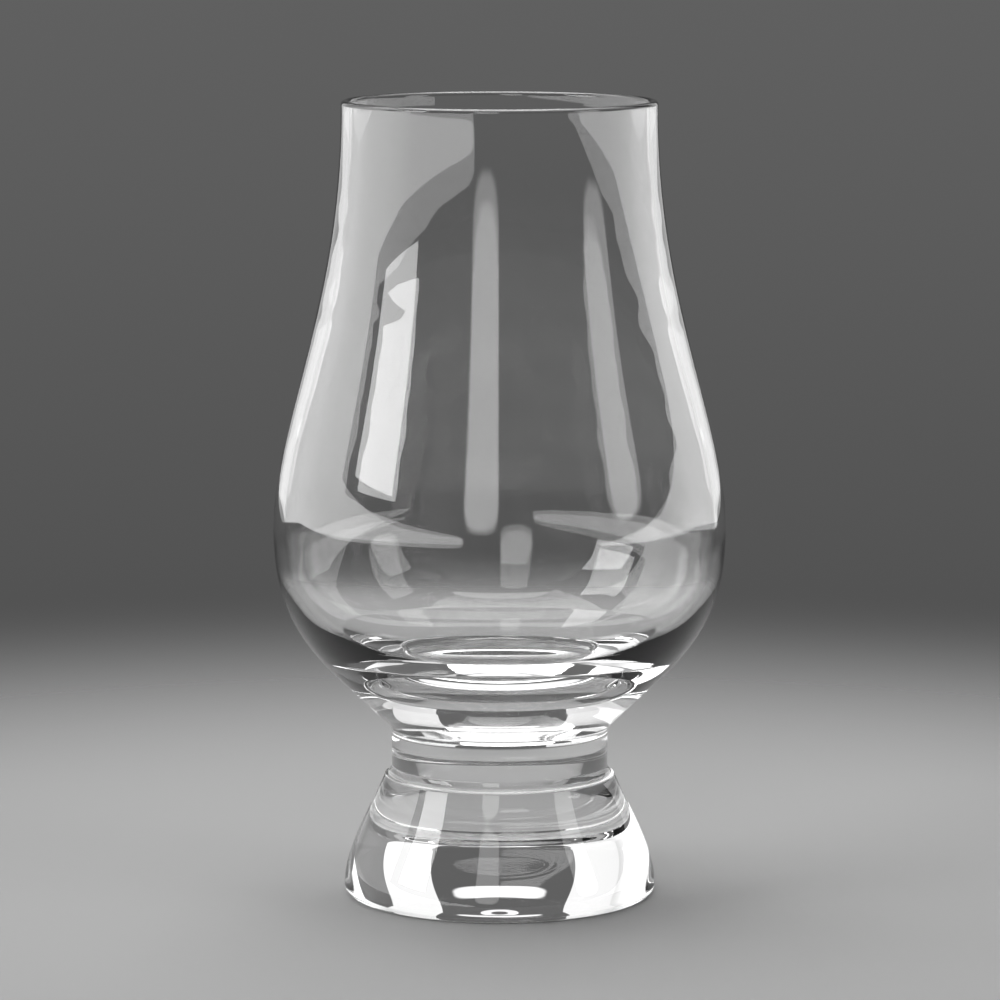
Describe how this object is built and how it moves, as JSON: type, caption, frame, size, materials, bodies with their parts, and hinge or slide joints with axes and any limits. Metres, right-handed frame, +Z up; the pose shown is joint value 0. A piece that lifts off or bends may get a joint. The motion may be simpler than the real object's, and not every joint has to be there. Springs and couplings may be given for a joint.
{
  "type": "whisky nosing glass",
  "caption": "Whisky nosing glass whose round bowl closes to a tall chimney, on a short solid stem and a heavy flared foot.",
  "frame": {"origin": "centre of the ring that the foot rests on, on the surface that the glass stands on", "axes": "+Z up along the glass's own axis, from the foot to the mouth; the shape is turned, so +X and +Y have no front"},
  "size_m": [0.0654, 0.0654, 0.1154],
  "materials": {
    "clear_glass": "clear, fire-polished"
  },
  "bodies": {
    "root": {"bowl": "clear_glass", "stem": "clear_glass", "foot": "clear_glass"}
  },
  "joints": []
}
